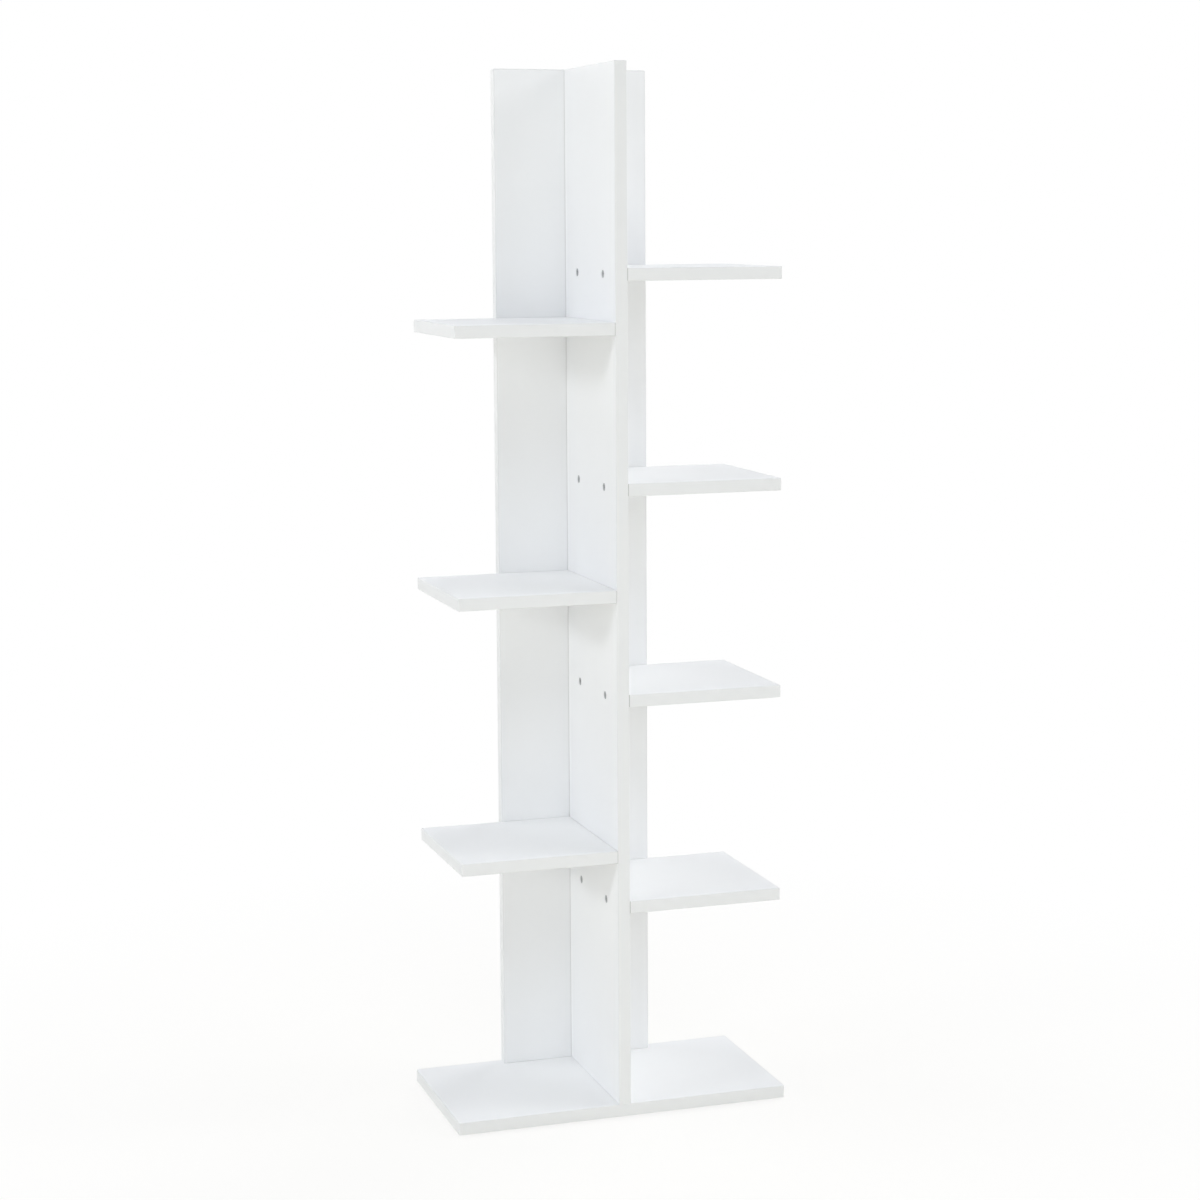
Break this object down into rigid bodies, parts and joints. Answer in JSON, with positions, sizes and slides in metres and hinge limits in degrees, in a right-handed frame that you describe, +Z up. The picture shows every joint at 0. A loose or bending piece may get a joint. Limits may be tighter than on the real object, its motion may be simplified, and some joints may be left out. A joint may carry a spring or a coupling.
{
  "type": "tree bookshelf",
  "caption": "Slim free-standing bookshelf: square shelves branch left and right from a central upright, with a narrow back panel and a wide base.",
  "frame": {"origin": "on the floor, in the middle of the base's outline", "axes": "+Z up along the upright, +Y to the back panel, +X to the side with the greater number of shelves"},
  "size_m": [0.42, 0.21, 1.273],
  "materials": {
    "white_melamine": "satin white melamine over particleboard",
    "white_edge_band": "satin white edge strip",
    "zinc_screw": "dull zinc plate",
    "beech_dowel": "raw beech",
    "glide_plastic": "smooth moulded plastic",
    "nail_steel": "bright steel"
  },
  "bodies": {
    "root": {"base_panel": "white_melamine", "base_panel_edge_bands": "white_edge_band", "upright_panel": "white_melamine", "upright_panel_edge_bands": "white_edge_band", "back_panel": "white_melamine", "back_panel_edge_bands": "white_edge_band", "left_shelf_1": "white_melamine", "left_shelf_1_edge_bands": "white_edge_band", "left_shelf_1_screws": "zinc_screw", "left_shelf_2": "white_melamine", "left_shelf_2_edge_bands": "white_edge_band", "left_shelf_2_screws": "zinc_screw", "left_shelf_3": "white_melamine", "left_shelf_3_edge_bands": "white_edge_band", "left_shelf_3_screws": "zinc_screw", "right_shelf_1": "white_melamine", "right_shelf_1_edge_bands": "white_edge_band", "right_shelf_1_screws": "zinc_screw", "right_shelf_2": "white_melamine", "right_shelf_2_edge_bands": "white_edge_band", "right_shelf_2_screws": "zinc_screw", "right_shelf_3": "white_melamine", "right_shelf_3_edge_bands": "white_edge_band", "right_shelf_3_screws": "zinc_screw", "right_shelf_4": "white_melamine", "right_shelf_4_edge_bands": "white_edge_band", "right_shelf_4_screws": "zinc_screw", "back_to_shelf_screws": "zinc_screw", "back_to_upright_screws": "zinc_screw", "base_to_upright_screws": "zinc_screw", "base_to_back_screws": "zinc_screw", "back_to_upright_dowels": "beech_dowel", "base_to_upright_dowels": "beech_dowel", "base_to_back_dowels": "beech_dowel", "floor_glides": "glide_plastic", "glide_nails": "nail_steel"}
  },
  "joints": []
}
